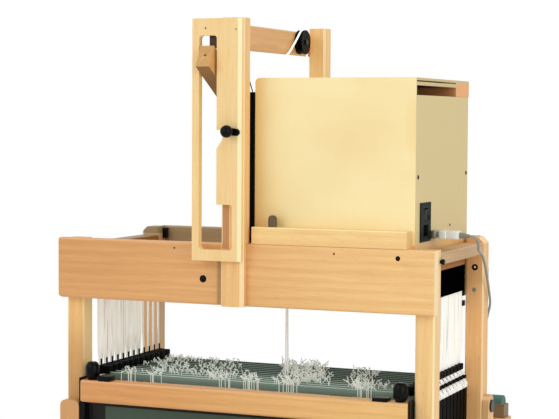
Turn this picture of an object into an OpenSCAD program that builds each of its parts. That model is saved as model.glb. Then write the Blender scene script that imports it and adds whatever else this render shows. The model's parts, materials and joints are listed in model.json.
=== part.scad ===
// Dobby loom: a table-height castle on a floor stand, with a dobby head, twelve shafts, a beater,
// cloth and warp beams and one treadle. Lengths in millimetres, +Z up, the weaver on the -Y side.
// The origin is the middle of the footprint, on the floor.

/* [Castle] */
// Length of the front beam, left to right
beam_len = 920; // [860:2:980]
// Height of the front beam
beam_h = 140; // [120:2:160]
// Thickness of the beams
beam_t = 28; // [22:1:34]
// Height of the castle's top above the floor
castle_top = 1250; // [1220:2:1290]
// Side of the square posts
post = 45; // [40:1:50]

/* [Dobby head] */
// Height of the slotted plate above the castle's top
plate_top = 502; // [490:2:540]
// Thickness of the slotted plate
plate_t = 16; // [12:1:20]
// Height of the box above the castle's top
box_h = 372; // [340:2:400]
// Thickness of the box's panels
panel = 12; // [9:1:15]
// Radius of the ball knob
ball_r = 14; // [12:0.5:16]
// Width of the lever
lever_w = 33; // [28:1:36]

/* [Shafts] */
// Distance from one shaft to the next
shaft_pitch = 28; // [26:0.5:28]
// Height of a shaft's bars
bar_h = 18; // [14:1:22]

/* [Beater] */
// Height of the beater's top rail
rail_h = 52; // [46:1:58]
// Radius of the beater's knobs
knob_r = 16.5; // [14:0.5:19]

/* [Stand] */
// Radius of the cloth beam
cloth_r = 22; // [18:1:26]
// Radius of the warp beam
warp_r = 36; // [30:1:38]

/* [Hidden] */
// Y of the castle's front face: everything in the castle is placed from there
front_y = -200;
// Inner and outer face of the posts, from the middle of the loom
in_x = 408;
out_x = in_x + post;
// Depth of the posts behind the castle's front face: the front pair, then the rear pair
front_post_y = beam_t;
rear_post_y = 414;
rear_back_y = rear_post_y + post;
// The lever's pivot and its rest angle
pivot_y = 487;
pivot_z = 105;
lever_deg = 30;
// The pulley's pin
pulley_y = 400;
pulley_z = 467.5;
// The shafts: the first one, and how far their top bars lie under the castle's top
shaft_y0 = 90;
shaft_z = -314;
shaft_low = -560;
// Beater pivot, above the floor
beater_y = -10;
beater_z = 160;
// The rollers, above the floor
cloth_y = -267.5;
cloth_z = 560;
warp_y = 667.5;
warp_z = 480;
$fn = 48;

// Frame of the castle: x as it is, y from its front face, z from its top
module at_castle() {
    translate([0, front_y, castle_top]) children();
}

// Frame of the stand: y from the castle's front face, z from the floor
module at_floor() {
    translate([0, front_y, 0]) children();
}

// Outline of a board with its four edges taken off
function edged(a, b, c) = [[c, 0], [a - c, 0], [a, c], [a, b - c], [a - c, b], [c, b], [0, b - c], [0, c]];

// A board from corner p, of size s, its long edges taken off by c
module board(p, s, c = 3) {
    if (s.z >= s.x && s.z >= s.y)
        translate(p) linear_extrude(s.z) polygon(edged(s.x, s.y, c));
    else if (s.x >= s.y)
        translate(p) rotate([90, 0, 90]) linear_extrude(s.x) polygon(edged(s.y, s.z, c));
    else
        translate(p + [0, s.y, 0]) rotate([90, 0, 0]) linear_extrude(s.y) polygon(edged(s.x, s.z, c));
}

// A plain block from corner p
module block(p, s) {
    translate(p) cube(s);
}

// A round rod along X, along Y, or between two points
module rod_x(p, r, len, f = 48) {
    translate(p) rotate([0, 90, 0]) cylinder(r = r, h = len, $fn = f);
}

module rod_y(p, r, len, f = 48) {
    translate(p) rotate([-90, 0, 0]) cylinder(r = r, h = len, $fn = f);
}

module rod(a, b, r, f = 24) {
    d = b - a;
    translate(a) rotate([0, acos(d.z / norm(d)), atan2(d.y, d.x)]) cylinder(r = r, h = norm(d), $fn = f);
}

// The same piece on the other side of the loom
module mirrored(side) {
    if (side < 0)
        mirror([1, 0, 0]) children();
    else
        children();
}

// An upright board with a round top: its outline in XZ, standing from y for a thickness t
module round_top(x0, x1, z0, z1, y, t, r) {
    translate([0, y + t, 0]) rotate([90, 0, 0]) linear_extrude(t) union() {
        translate([x0, z0]) square([x1 - x0, z1 - r - z0]);
        translate([x0 + r, z1 - r]) circle(r);
        translate([x1 - r, z1 - r]) circle(r);
        translate([x0 + r, z1 - r - 1]) square([x1 - x0 - 2 * r, r + 1]);
    }
}

// The castle: beams, rails and posts round the shafts

module castle_front_beam() {
    color([0.88, 0.67, 0.45]) at_castle() difference() {
        board([-beam_len / 2, 0, -beam_h], [beam_len, beam_t, beam_h], 3);
        // Hole for a screw plug, low on the left of the head's post, and one high on the right
        rod_y([-86, -1, -82], 8.5, 5);
        rod_y([377, -1, -19], 5.5, 15);
        // Groove beside the head's post
        block([-37.5, -1, -beam_h - 1], [5.3, 8.5, beam_h + 2]);
        // The left lower corner is cut round
        translate([-beam_len / 2 - 1, -1, -beam_h - 1]) difference() {
            cube([11, beam_t + 2, 11]);
            rod_y([11, -1, 11], 10, beam_t + 4);
        }
    }
}

module castle_rear_beam() {
    color([0.62, 0.52, 0.40]) at_castle() intersection() {
        board([-445, rear_back_y + 0.3, -beam_h], [890, beam_t, beam_h + 3], 3);
        // Both ends are cut off slanting above
        translate([0, rear_back_y + beam_t + 2, 0]) rotate([90, 0, 0]) linear_extrude(beam_t + 4)
            polygon([[-446, -beam_h - 1], [446, -beam_h - 1], [446, -79], [424, 4], [-424, 4], [-446, -79]]);
    }
}

module castle_rail(side) {
    color([0.78, 0.66, 0.50]) at_castle() mirrored(side)
        board([in_x, front_post_y + post + 0.3, -36],
            [post, rear_post_y - front_post_y - post - 0.6, side < 0 ? 18 : 27], 2);
}

module castle_rail_left() { castle_rail(-1); }

module castle_rail_right() { castle_rail(1); }

module front_post(side) {
    color([0.94, 0.75, 0.52]) at_floor() mirrored(side)
        board([in_x, front_post_y + 0.3, 72.3], [post, post - 0.3, castle_top - 74], 4);
}

module front_post_left() { front_post(-1); }

module front_post_right() { front_post(1); }

// The rear posts' outer top corners are cut off
module rear_post(side) {
    color([0.91, 0.71, 0.48]) at_floor() mirrored(side) difference() {
        board([in_x, rear_post_y, 72.3], [post, post, castle_top - 69.3], 4);
        translate([out_x - 14, rear_post_y - 1, castle_top + 3]) rotate([0, 45, 0])
            cube([30, post + 2, 30]);
        rod_y([431, rear_post_y - 1, castle_top - 68], 7, 5);
        rod_y([430, rear_post_y - 1, castle_top - 122], 5, 5);
    }
}

module rear_post_left() { rear_post(-1); }

module rear_post_right() { rear_post(1); }

// Black channel under each castle rail: the shafts' cords run up into it
module cord_housing(side) {
    y0 = front_post_y + post + 3;
    y1 = rear_post_y - 3;
    color([0.05, 0.05, 0.05]) at_castle() mirrored(side) union() {
        block([404.5, y0, -123], [3.2, y1 - y0, 105]);
        block([387, y0, -123], [6.7, y1 - y0, 62]);
        block([393.6, y0, -123], [11, 3, 62]);
        block([393.6, y1 - 3, -123], [11, 3, 62]);
    }
}

module cord_housing_left() { cord_housing(-1); }

module cord_housing_right() { cord_housing(1); }

// The stand: feet, legs, beams and rollers

// Runner along the floor, with two pads, the stub that carries the beater and its pin
module foot(side) {
    color([0.86, 0.66, 0.45]) at_floor() mirrored(side) union() {
        board([in_x, -300, 12], [post, warp_y + 332.5, 60], 4);
        block([in_x + 4, -290, 0], [post - 8, 80, 12.5]);
        block([in_x + 4, warp_y - 57.5, 0], [post - 8, 80, 12.5]);
        board([in_x + 2, beater_y - 22, 70], [30, 36, 118], 3);
        rod_x([388, beater_y, beater_z], 6, 24);
        rod_x([387, beater_y, beater_z], 10, 3.5);
    }
}

module foot_left() { foot(-1); }

module foot_right() { foot(1); }

// Front leg, the arm back to the post, and the round-topped board in front of the post
module front_arm(side) {
    color([0.90, 0.70, 0.48]) at_floor() mirrored(side) difference() {
        union() {
            board([in_x, cloth_y - 22.5, 72.3], [post, post, 628], 4);
            board([in_x, cloth_y - 22.5, 700], [post, 317.7, 45], 3);
            round_top(in_x - 1, out_x + 3, 690, 868, 0, 27.7, 14);
            // The right leg carries the pawl's pin
            if (side > 0) {
                rod_x([450, cloth_y - 16, cloth_z + 70], 8, 6.7);
                rod_x([450, cloth_y - 16, cloth_z + 70], 4, 15.5);
                rod_x([464.3, cloth_y - 16, cloth_z + 70], 7, 2.5);
            }
        }
        rod_x([in_x - 5, cloth_y, cloth_z], 12.05, post + 12);
    }
}

module front_arm_left() { front_arm(-1); }

module front_arm_right() { front_arm(1); }

// Rear leg, the arm on the outside of the posts with its raised round end, and the round cap on it
module rear_arm(side) {
    color([0.90, 0.70, 0.48]) at_floor() mirrored(side) difference() {
        union() {
            board([in_x, warp_y - 22.5, 72.3], [post, post, 712], 4);
            translate([out_x + 0.3, 0, 0]) rotate([90, 0, 90]) linear_extrude(15) union() {
                translate([rear_post_y, 700]) square([warp_y + 22.5 - rear_post_y, 60]);
                translate([rear_post_y, 700]) square([45, 155]);
                translate([rear_post_y + 22.5, 855]) circle(22.5);
            }
            rod_x([out_x + 15, rear_post_y + 22.5, 850], 15, 5);
            // The left leg carries the pawl's pin
            if (side < 0) {
                rod_x([450, warp_y - 16, warp_z + 70], 8, 21.7);
                rod_x([450, warp_y - 16, warp_z + 70], 4, 31);
                rod_x([479.3, warp_y - 16, warp_z + 70], 7, 3);
            }
        }
        rod_x([in_x - 5, warp_y, warp_z], 14.05, post + 12);
    }
}

module rear_arm_left() { rear_arm(-1); }

module rear_arm_right() { rear_arm(1); }

// Front and rear stretchers, and the treadle's rod on two lugs
module stretchers() {
    color([0.86, 0.66, 0.45]) at_floor() union() {
        board([-in_x + 0.3, -200, 20], [2 * in_x - 0.6, 30, 50], 3);
        board([-in_x + 0.3, 470, 20], [2 * in_x - 0.6, 30, 70], 3);
        for (x = [-44, 74])
            board([x, 415, 55], [6, 56, 30], 1);
        rod_x([-40, 430, 70], 5, 116);
        // Middle tie between the two stretchers, off to the side of the treadle
        board([-120, -171, 25], [40, 642, 30], 3);
    }
}

// Boards over which the cloth and the warp run, with rounded tops
module breast_beam() {
    color([0.90, 0.70, 0.48]) at_floor() union() {
        board([-out_x, cloth_y - 22.5, 745.3], [2 * out_x, post, 60], 2);
        rod_x([-out_x, cloth_y, 807.5], 22.5, 2 * out_x);
    }
}

module back_beam() {
    color([0.40, 0.40, 0.32]) at_floor() union() {
        board([8 - out_x, warp_y - 22.5, 784.6], [2 * out_x - 16, post, 32], 2);
        rod_x([15 - out_x, warp_y, 816], 22.5, 2 * out_x - 30);
    }
}

// Ratchet wheel: n teeth, outer radius r
module ratchet(n, r) {
    linear_extrude(9) polygon([for (i = [0:n - 1], k = [0:1])
        let (a = (i + k * 0.12) * 360 / n) (k == 0 ? r : r * 0.84) * [cos(a), sin(a)]]);
}

// Cloth beam: roller, journals, and a ratchet wheel with its crank outside the right leg
module cloth_beam() {
    color([0.92, 0.73, 0.50]) at_floor() translate([0, cloth_y, cloth_z]) union() {
        rod_x([-405, 0, 0], cloth_r, 810);
        rod_x([-456, 0, 0], 12, 926);
        translate([456, 0, 0]) rotate([90, 0, 90]) ratchet(12, 40);
        board([467, -10, -34], [8, 20, 44], 2);
        rod_x([470, 0, -26], 8, 30);
    }
}

// Warp beam: a thicker roller with two flanges, its ratchet wheel and crank outside the left leg
module warp_beam() {
    color([0.92, 0.73, 0.50]) at_floor() translate([0, warp_y, warp_z]) mirror([1, 0, 0]) union() {
        rod_x([-400, 0, 0], warp_r, 800);
        for (x = [-404, 396])
            rod_x([x, 0, 0], 40, 8);
        rod_x([-456, 0, 0], 14, 928);
        translate([471, 0, 0]) rotate([90, 0, 90]) ratchet(12, 40);
        board([479.9, -10, -34], [8, 20, 44], 2);
        rod_x([482, 0, -26], 8, 18);
    }
}

// Pawl that drops on a ratchet wheel: pivot pin and arm in the plane of the wheel, resting in the teeth
module pawl_plate() {
    linear_extrude(7) difference() {
        union() {
            circle(9);
            polygon([[-2, -8.5], [23.3, -34.3], [30.4, -39], [34.8, -35], [8.5, -1.5]]);
        }
        circle(4.05);
    }
}

module cloth_pawl() {
    color([0.25, 0.25, 0.27]) at_floor() translate([457, cloth_y - 16, cloth_z + 70]) rotate([90, 0, 90])
        pawl_plate();
}

module warp_pawl() {
    color([0.25, 0.25, 0.27]) at_floor() translate([-479, warp_y - 16, warp_z + 70]) rotate([90, 0, 90])
        pawl_plate();
}

// The beater

// Arms from the pivot to the top rail, with the lower rail that the reed stands on
module beater_frame() {
    color([0.06, 0.06, 0.06]) at_floor() union() {
        for (side = [-1, 1]) mirrored(side) union() {
            difference() {
                translate([392, 0, 0]) rotate([90, 0, 90]) linear_extrude(11) difference() {
                    hull() {
                        translate([beater_y, beater_z]) circle(20);
                        translate([3, castle_top - 386 - 8]) square([42, 8]);
                    }
                    translate([beater_y, beater_z]) circle(6.05);
                }
            }
            block([402.9, 3, 800], [3.9, 42, castle_top - 328 - 800]);
        }
        board([-392.1, 5, 742], [784.2, 40, 23], 2);
    }
}

module beater_rail() {
    color([0.87, 0.65, 0.40]) at_castle()
        board([-402.6, 0, -333 - rail_h], [805.2, 42, rail_h], 4);
}

// The reed between the two rails: a frame, with its wires as one thin panel
module reed() {
    color([0.12, 0.20, 0.12]) at_floor() union() {
        block([-390, 22, 765.3], [780, 3, castle_top - 333 - rail_h - 765.6]);
        for (x = [-390, 384])
            block([x, 19, 765.3], [6, 9, castle_top - 333 - rail_h - 765.6]);
        block([-390, 19, 765.3], [780, 9, 8]);
        block([-390, 19, castle_top - 341.3 - rail_h], [780, 9, 8]);
    }
}

// Barrel-shaped knobs on the top rail
module beater_knob(x) {
    color([0.04, 0.04, 0.04]) at_castle() translate([x, 20, -332.7]) rotate_extrude($fn = 40)
        polygon([[0, 0], [11, 0], [13, 4], [knob_r, 9], [knob_r, 30], [knob_r - 3, 38], [knob_r - 8, 42], [0, 42]]);
}

module beater_knob_left() { beater_knob(-380); }

module beater_knob_right() { beater_knob(380); }

// The shafts

// One shaft: two light-metal bars, black end blocks, the cords beside the heddles and the two cords
// that run up into the housings. The heddles are shown by a few narrow strips.
module shaft(k) {
    y = shaft_y0 + k * shaft_pitch;
    color([0.60, 0.66, 0.62]) at_castle() translate([0, y, 0]) union() {
        board([-385, -2.5, shaft_z - bar_h], [770, 5, bar_h], 1);
        board([-385, -2.5, shaft_low], [770, 5, 15], 1);
        for (side = [-1, 1]) mirrored(side) union() {
            block([384, -6, -338], [19, 12, 38]);
            block([384, -6, shaft_low - 4], [16, 12, 24]);
            block([390, -2.5, shaft_low], [5, 5, 225]);
            block([394, -2, -301], [4, 4, 188]);
        }
        for (x = [-300, -140, 10, 150, 300])
            block([x - 12, -1.5, shaft_low + 14], [24, 3, shaft_z - bar_h - shaft_low - 13]);
    }
}

module shaft_01() { shaft(0); }

module shaft_02() { shaft(1); }

module shaft_03() { shaft(2); }

module shaft_04() { shaft(3); }

module shaft_05() { shaft(4); }

module shaft_06() { shaft(5); }

module shaft_07() { shaft(6); }

module shaft_08() { shaft(7); }

module shaft_09() { shaft(8); }

module shaft_10() { shaft(9); }

module shaft_11() { shaft(10); }

module shaft_12() { shaft(11); }

// The dobby head: post, slotted plate, lever, box and its fittings

// Front post of the head: its back is cut away below, so it laps over the front of the castle
module dobby_post() {
    color([0.95, 0.78, 0.54]) at_castle() difference() {
        union() {
            board([-32, -22, -beam_h], [54, 21.7, beam_h + 1], 3);
            board([-32, -22, 0.3], [54, 41, plate_top + 1.7], 5);
            // Dark block that the lever comes up against
            block([-62, -21, 437], [31, 26, 44]);
        }
        // Wide slant down the front right edge
        translate([0, 0, -beam_h - 1]) linear_extrude(beam_h + plate_top + 4)
            polygon([[13, -23], [23, -23], [23, -13]]);
    }
}

// Slotted plate on the front of the post, with the lever's slot, its pocket below and the latch's notch
module slot_plate() {
    color([0.95, 0.80, 0.57]) at_castle() translate([0, -22.3, 0]) rotate([90, 0, 0]) difference() {
        linear_extrude(plate_t) difference() {
            translate([-96, -37]) square([118, plate_top + 37]);
            offset(r = 7) offset(delta = -7) union() {
                translate([-79, -12]) square([43, 476]);
                translate([-60, -12]) square([62, 101]);
            }
            offset(r = 4) offset(delta = -4)
                polygon([[-45, 255], [-17, 255], [-20, 236], [-36, 214], [-45, 214]]);
            translate([-64, 480]) circle(2.5);
            translate([10, 477]) circle(2);
        }
        // Slant down the front right edge
        translate([22, 230, plate_t]) rotate([0, 45, 0]) cube([9.9, 1200, 9.9], center = true);
    }
}

// Bar across the top of the head, against the left side of the rear post, with the pulley's pin
module top_bar() {
    color([0.84, 0.67, 0.45]) at_castle() union() {
        board([-39.3, 19.3, 436.3], [22, 485.7, 57], 3);
        rod_x([-18, pulley_y, pulley_z], 4, 23);
        rod_x([3.5, pulley_y, pulley_z], 7, 2.5);
    }
}

// Rear post of the head: it stands on the rear beam and laps down behind it. It carries the lever's
// pin.
module dobby_rear_post() {
    color([0.84, 0.68, 0.47]) at_castle() union() {
        board([-17, rear_back_y + beam_t + 0.6, -beam_h], [44, 21.4, beam_h + 4], 3);
        board([-17, 465, 3.3], [44, 44, plate_top - 1.3], 5);
        rod_x([-84, pivot_y, pivot_z], 7, 68);
        rod_x([-40, pivot_y, pivot_z], 12, 24);
        rod_x([-84, pivot_y, pivot_z], 12, 5);
    }
}

// Pulley beside the top bar, on the bar's pin: a grooved wheel
module pulley() {
    color([0.04, 0.04, 0.04]) at_castle() translate([-16.5, pulley_y, pulley_z]) rotate([0, 90, 0])
        rotate_extrude($fn = 64)
            polygon([[4.05, 0], [29.5, 0], [29.5, 5], [25, 9.5], [29.5, 14], [29.5, 19], [4.05, 19]]);
}

// Lever through the slot, pivoted at the rear, its square end showing in front of the plate
module dobby_lever() {
    color([0.80, 0.55, 0.32]) at_castle() translate([0, pivot_y, pivot_z]) difference() {
        rotate([-lever_deg, 0, 0]) union() {
            translate([-57.5 - lever_w / 2, -626, -27]) cube([lever_w, 626, 54]);
            rod_x([-57.5 - lever_w / 2, 0, 0], 27, lever_w);
        }
        rod_x([-90, 0, 0], 7.05, 60);
        rotate([-lever_deg, 0, 0]) rod_y([-57.5, -630, 2], 3, 30, 24);
    }
}

// Latch on the plate: a short arm on a bolt, with a ball knob
module latch() {
    color([0.04, 0.04, 0.04]) at_castle() union() {
        translate([0, -38.6, 0]) rotate([90, 0, 0]) linear_extrude(4) hull() {
            translate([13, 250]) circle(8);
            translate([-2, 252]) circle(8);
        }
        rod_y([13, -47, 250], 6, 5, 32);
        rod_y([-2, -50, 252], 5, 9, 32);
        translate([-2, -60, 252]) sphere(ball_r, $fn = 40);
    }
}

// Black sleeve beside the box, with the thin wire that runs from it up to the post
module return_spring() {
    color([0.03, 0.03, 0.03]) at_castle() union() {
        rod([15.3, 46, 0.4], [15.3, 46, 340], 7, 32);
        rod([15.3, 46, 338], [-3, 20.5, 431], 1.2, 16);
    }
}

// Ledge on the castle in front of the box, with the round peg that stands on it
module ledge() {
    color([0.97, 0.80, 0.55]) at_castle() union() {
        board([31, 4, 0.3], [364, 38, 38.7], 2);
        translate([75, 22, 38]) rotate_extrude($fn = 40)
            polygon([[0, 0], [10, 0], [10, 20], [8, 25], [4, 27], [0, 27.5]]);
    }
}

// The box without its lid: base board, four panels, and a thin skin that carries the front on up to
// the top. The long opening under the lid on the right is left between the side panel and the lid.
box_x = 22.6;
box_w = 379;
box_y = 42.5;
box_d = 400;
side_h = box_h - 38.3;

// Outline of the box seen from the front, from height low up to the top, its upper left corner round
function box_outline(low) = concat([for (a = [180:-15:90]) [box_x + 10 + 10 * cos(a), box_h - 10 + 10 * sin(a)]],
    [[box_x + box_w, box_h], [box_x + box_w, low], [box_x, low]]);

module box_shell() {
    color([0.96, 0.87, 0.66]) at_castle() union() {
        block([box_x, beam_t + 0.3, -22], [box_w, rear_back_y - beam_t - 0.3, 22.3]);
        block([box_x, box_y, 0], [box_w, panel, side_h]);
        translate([0, box_y + 4, 0]) rotate([90, 0, 0]) linear_extrude(4) polygon(box_outline(0));
        block([box_x, box_y + box_d - panel, 0], [box_w, panel, side_h]);
        block([box_x, box_y, 0], [panel, box_d, side_h]);
        // Guide rods of the lifting bar
        for (x = [90, 330])
            translate([x, 233, 0]) cylinder(r = 6, h = box_h - 18.3);
        difference() {
            block([box_x + box_w - panel, box_y, 0], [panel, box_d, side_h]);
            block([box_x + box_w - panel - 1, 82, 18], [panel + 2, 64, 73]);
            for (p = [[63, 156], [431, 154], [303, 38]])
                rod_x([box_x + box_w - 4, p[0], p[1]], 3.5, 5, 24);
        }
    }
}

// Lid: a top board with a second one under it on the right, a strip down the left side, and a solid
// block across the rear end
module box_lid() {
    color([0.96, 0.88, 0.68]) at_castle() rotate([90, 0, 0]) union() {
        translate([0, 0, -347.5]) linear_extrude(347.5 - box_y - 4.3) difference() {
            polygon(box_outline(side_h + 0.3));
            translate([box_x + panel, side_h - 1]) square([box_w, 22.3]);
            translate([box_x + box_w - 6, box_h - 9]) square([7, 3]);
        }
        translate([0, 0, -447.5]) linear_extrude(100.5) polygon(box_outline(side_h + 0.3));
    }
}

// Black inlet module in the box's right side: flange, body, inlet with three pins, switch pocket
module power_module() {
    color([0.03, 0.04, 0.04]) at_castle() union() {
        difference() {
            union() {
                block([401.9, 75, 11], [7, 76.5, 87]);
                block([380, 84, 20], [22, 60, 69]);
            }
            block([386, 98, 24], [30, 32, 24]);
            block([396, 102, 57], [20, 26, 28]);
        }
        for (p = [[106, 32], [114, 39], [122, 32]])
            block([385, p[0] - 1, p[1] - 2.5], [18, 2, 5]);
        block([408.8, 134, 58], [4, 10, 10]);
    }
}

module rocker_switch() {
    color([0.05, 0.05, 0.06]) at_castle() translate([401, 115, 71]) rotate([0, 7, 0])
        translate([0, 12, 0]) rotate([90, 0, 0]) linear_extrude(24)
            polygon([[0, -12], [9, -12.5], [6.5, 0], [9, 12.5], [0, 12], [-3, 0]]);
}

// Plug of the data cable: collar against the box, hood and tapered strain relief, along +X
module connector() {
    color([0.85, 0.85, 0.78]) at_castle() translate([401.9, 168, 25]) union() {
        board([0, -16, -10], [13, 34, 19], 1);
        block([12.9, -13, -7], [8, 26, 13]);
        board([20, -21, -10], [17, 42, 19], 2);
        board([36.5, -18, -9], [28, 36, 17], 2);
        translate([64, 0, -1.5]) rotate([0, 90, 0]) cylinder(r1 = 7, r2 = 4.5, h = 22.8, $fn = 24);
    }
}

// Bar inside the box that lifts the chosen cords, on two guide rods
module knife() {
    color([0.55, 0.56, 0.58]) at_castle() union() {
        difference() {
            union() {
                board([60, 225, 250], [300, 16, 30], 2);
                for (x = [90, 330])
                    block([x - 14, 219, 245], [28, 28, 40]);
            }
            for (x = [90, 330])
                translate([x, 233, 240]) cylinder(r = 6.05, h = 60);
        }
    }
}

// The treadle and its cord

module treadle() {
    color([0.86, 0.66, 0.45]) at_floor() translate([18, 430, 70]) rotate([-16, 0, 0]) difference() {
        union() {
            board([-48, -590, -12], [96, 580, 24], 3);
            rod_x([-48, 0, 0], 12, 96);
            block([-48, -12, -12], [96, 12, 24]);
        }
        rod_x([-60, 0, 0], 5.05, 120);
        translate([-14, -207, -20]) cube([28, 28, 60]);
    }
}

// Two cords from the box down to the treadle, with the toggle under it that they pull on
module treadle_cord() {
    color([0.95, 0.92, 0.88]) at_castle() translate([20.1, 244, 0]) union() {
        rod([0, 0, 180], [0, 0, -172], 2.2, 16);
        rod([-1, 0, -170], [-8, 0, -290], 2, 16);
        rod([1, 0, -170], [8, 0, -290], 2, 16);
        rod([-8, 0, -288], [-8, 0, -1145], 2, 16);
        rod([8, 0, -288], [8, 0, -1145], 2, 16);
        block([-22, -4, -1151], [44, 8, 8]);
    }
}

// The data cable, its coil and the plug on its far end

// Its free stretch, from the plug over the side of the castle and down behind the rear post
cable_d = 6;
cable_pts = [[489, 168, 21.5], [496, 168, 21.5], [502.5, 170.5, 17.5], [505, 177, 9], [503.5, 188, 0],
    [499, 204, -7.5], [491.5, 232, -14], [484, 268, -20], [477.5, 312, -31], [471, 357, -54], [465.5, 398, -88],
    [461, 436, -131], [456, 462, -160], [444, 478, -197], [426, 493, -270], [403, 510, -400], [378, 530, -600],
    [364, 545, -800], [357, 552, -1000], [353, 556, -1120], [348, 563, -1185], [338, 577, -1226],
    [318, 591, -1243], [300, 596, -1246.5], [290, 596, -1246.5]];

function smooth(p, i, t) = let (n = len(p) - 1, a = p[max(i - 1, 0)], b = p[i], c = p[i + 1], d = p[min(i + 2, n)])
    0.5 * (2 * b + (c - a) * t + (2 * a - 5 * b + 4 * c - d) * t * t + (3 * b - a - 3 * c + d) * t * t * t);

function swept(p, per) = concat([for (i = [0:len(p) - 2], k = [0:per - 1]) smooth(p, i, k / per)], [p[len(p) - 1]]);

// Rings of a tube along points q, kept from twisting by turning each ring's side with the path
function unit(v) = v / norm(v);

function heading(q, i) = unit(q[min(i + 1, len(q) - 1)] - q[max(i - 1, 0)]);

function sides(q, i, s) = i >= len(q) ? [] :
    let (h = heading(q, i), u = unit(s - (s * h) * h)) concat([u], sides(q, i + 1, u));

module tube(q, r, n) {
    h = [for (i = [0:len(q) - 1]) heading(q, i)];
    s = sides(q, 0, [0.1, 0.99, 0.2]);
    pts = [for (i = [0:len(q) - 1], k = [0:n - 1])
        q[i] + r * (cos(k * 360 / n) * s[i] + sin(k * 360 / n) * cross(h[i], s[i]))];
    m = len(q) - 1;
    polyhedron(points = pts, faces = concat(
        [[for (k = [0:n - 1]) k]],
        [for (i = [0:m - 1], k = [0:n - 1]) let (a = i * n + k, b = i * n + (k + 1) % n) [a, a + n, b + n, b]],
        [[for (k = [n - 1:-1:0]) m * n + k]]));
}

module data_cable() {
    color([0.62, 0.64, 0.60]) at_castle() tube(swept(cable_pts, 3), cable_d / 2, 8);
}

// The unseen length, wound in a round coil on the floor behind the loom: it spirals in, climbs a
// layer while it turns back, and spirals out again
coil_mid = 36;
coil_pitch = 6.8;
coil_turns = 3;
coil_in = coil_mid - coil_pitch * coil_turns / 2;
coil_out = coil_mid + coil_pitch * coil_turns / 2;
coil_c = [280, 596 + coil_out];

function coil_radius(t) = let (s = t - coil_turns)
    s < 0 ? coil_in - coil_pitch * s : s < 0.5 ? coil_in - coil_pitch * (s - 2 * s * s) : coil_in + coil_pitch * (s - 0.5);

function coil_rise(t) = let (u = min(max((t - coil_turns) / 0.5, 0), 1)) coil_pitch * (3 * u * u - 2 * u * u * u);

coil_pts = concat([[290, 596, -1246.5], [284, 596, -1246.5]],
    [for (i = [0:24 * (2 * coil_turns + 0.5)]) let (t = i / 24, a = -90 - 360 * t, r = coil_radius(t))
        [coil_c.x + r * cos(a), coil_c.y + r * sin(a), -1246.5 + coil_rise(t)]],
    [[coil_c.x + 19, coil_c.y + coil_out, -1246.5 + coil_pitch],
    [coil_c.x + 38, coil_c.y + coil_out, -1246.5 + coil_pitch]]);

module cable_coil() {
    color([0.60, 0.62, 0.58]) at_castle() tube(coil_pts, cable_d / 2, 6);
}

// Plug on the far end: strain relief, hood and collar, lying behind the coil
module cable_plug() {
    color([0.85, 0.85, 0.78]) at_castle()
        translate([coil_c.x + 38.05, coil_c.y + coil_out, -1246.5 + coil_pitch]) union() {
            rotate([0, 90, 0]) cylinder(r1 = 4.5, r2 = 7, h = 18, $fn = 24);
            board([17, -18, -9.5], [28, 36, 17], 2);
            board([44.5, -16, -9], [13, 32, 16], 1);
        }
}

castle_front_beam();
castle_rear_beam();
castle_rail_left();
castle_rail_right();
front_post_left();
front_post_right();
rear_post_left();
rear_post_right();
cord_housing_left();
cord_housing_right();
foot_left();
foot_right();
front_arm_left();
front_arm_right();
rear_arm_left();
rear_arm_right();
stretchers();
breast_beam();
back_beam();
cloth_beam();
warp_beam();
cloth_pawl();
warp_pawl();
beater_frame();
beater_rail();
reed();
beater_knob_left();
beater_knob_right();
shaft_01();
shaft_02();
shaft_03();
shaft_04();
shaft_05();
shaft_06();
shaft_07();
shaft_08();
shaft_09();
shaft_10();
shaft_11();
shaft_12();
dobby_post();
slot_plate();
top_bar();
dobby_rear_post();
pulley();
dobby_lever();
latch();
return_spring();
ledge();
box_shell();
box_lid();
power_module();
rocker_switch();
connector();
knife();
treadle();
treadle_cord();
data_cable();
cable_coil();
cable_plug();
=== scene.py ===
# A dobby loom in beech: the castle with its shafts, the dobby head and its box, the beater, and the
# stand with its beams, rollers and treadle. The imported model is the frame, and each section below
# dresses one piece or group of pieces. Sizes are in metres, and places on the loom in millimetres.
import json
import math
import random

import bmesh
import bpy
from mathutils import Matrix, Vector


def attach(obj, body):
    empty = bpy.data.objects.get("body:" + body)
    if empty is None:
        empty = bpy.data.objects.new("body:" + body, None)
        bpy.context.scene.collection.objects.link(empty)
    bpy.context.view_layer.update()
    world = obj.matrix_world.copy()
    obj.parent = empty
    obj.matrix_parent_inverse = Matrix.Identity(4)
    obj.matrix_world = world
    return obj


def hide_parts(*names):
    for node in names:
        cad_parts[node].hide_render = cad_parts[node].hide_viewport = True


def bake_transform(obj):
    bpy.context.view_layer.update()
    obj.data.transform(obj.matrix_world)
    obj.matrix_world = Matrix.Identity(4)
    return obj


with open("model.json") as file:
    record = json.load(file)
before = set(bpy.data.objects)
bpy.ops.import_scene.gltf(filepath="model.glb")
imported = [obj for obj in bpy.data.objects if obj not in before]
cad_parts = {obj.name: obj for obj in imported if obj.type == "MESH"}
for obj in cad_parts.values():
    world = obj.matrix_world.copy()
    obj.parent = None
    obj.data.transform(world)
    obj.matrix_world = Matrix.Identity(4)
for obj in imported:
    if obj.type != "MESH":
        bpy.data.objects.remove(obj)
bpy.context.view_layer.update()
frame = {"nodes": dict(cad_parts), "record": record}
scene = bpy.context.scene
nodes = frame["nodes"]
body_of = {node: body for body, members in frame["record"]["behaviour"]["bodies"].items() for node in members}


# Camera, solved from the photograph's edges: a little above the castle, to the right of the loom's
# middle, looking slightly down. Places on the castle are measured in millimetres from its front
# face and its top, and places on the stand from the same face and the floor.
castle_front = -200
castle_top = 1250


def castle(x, y, z):
    return Vector((x / 1000, (y + castle_front) / 1000, (z + castle_top) / 1000))


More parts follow.
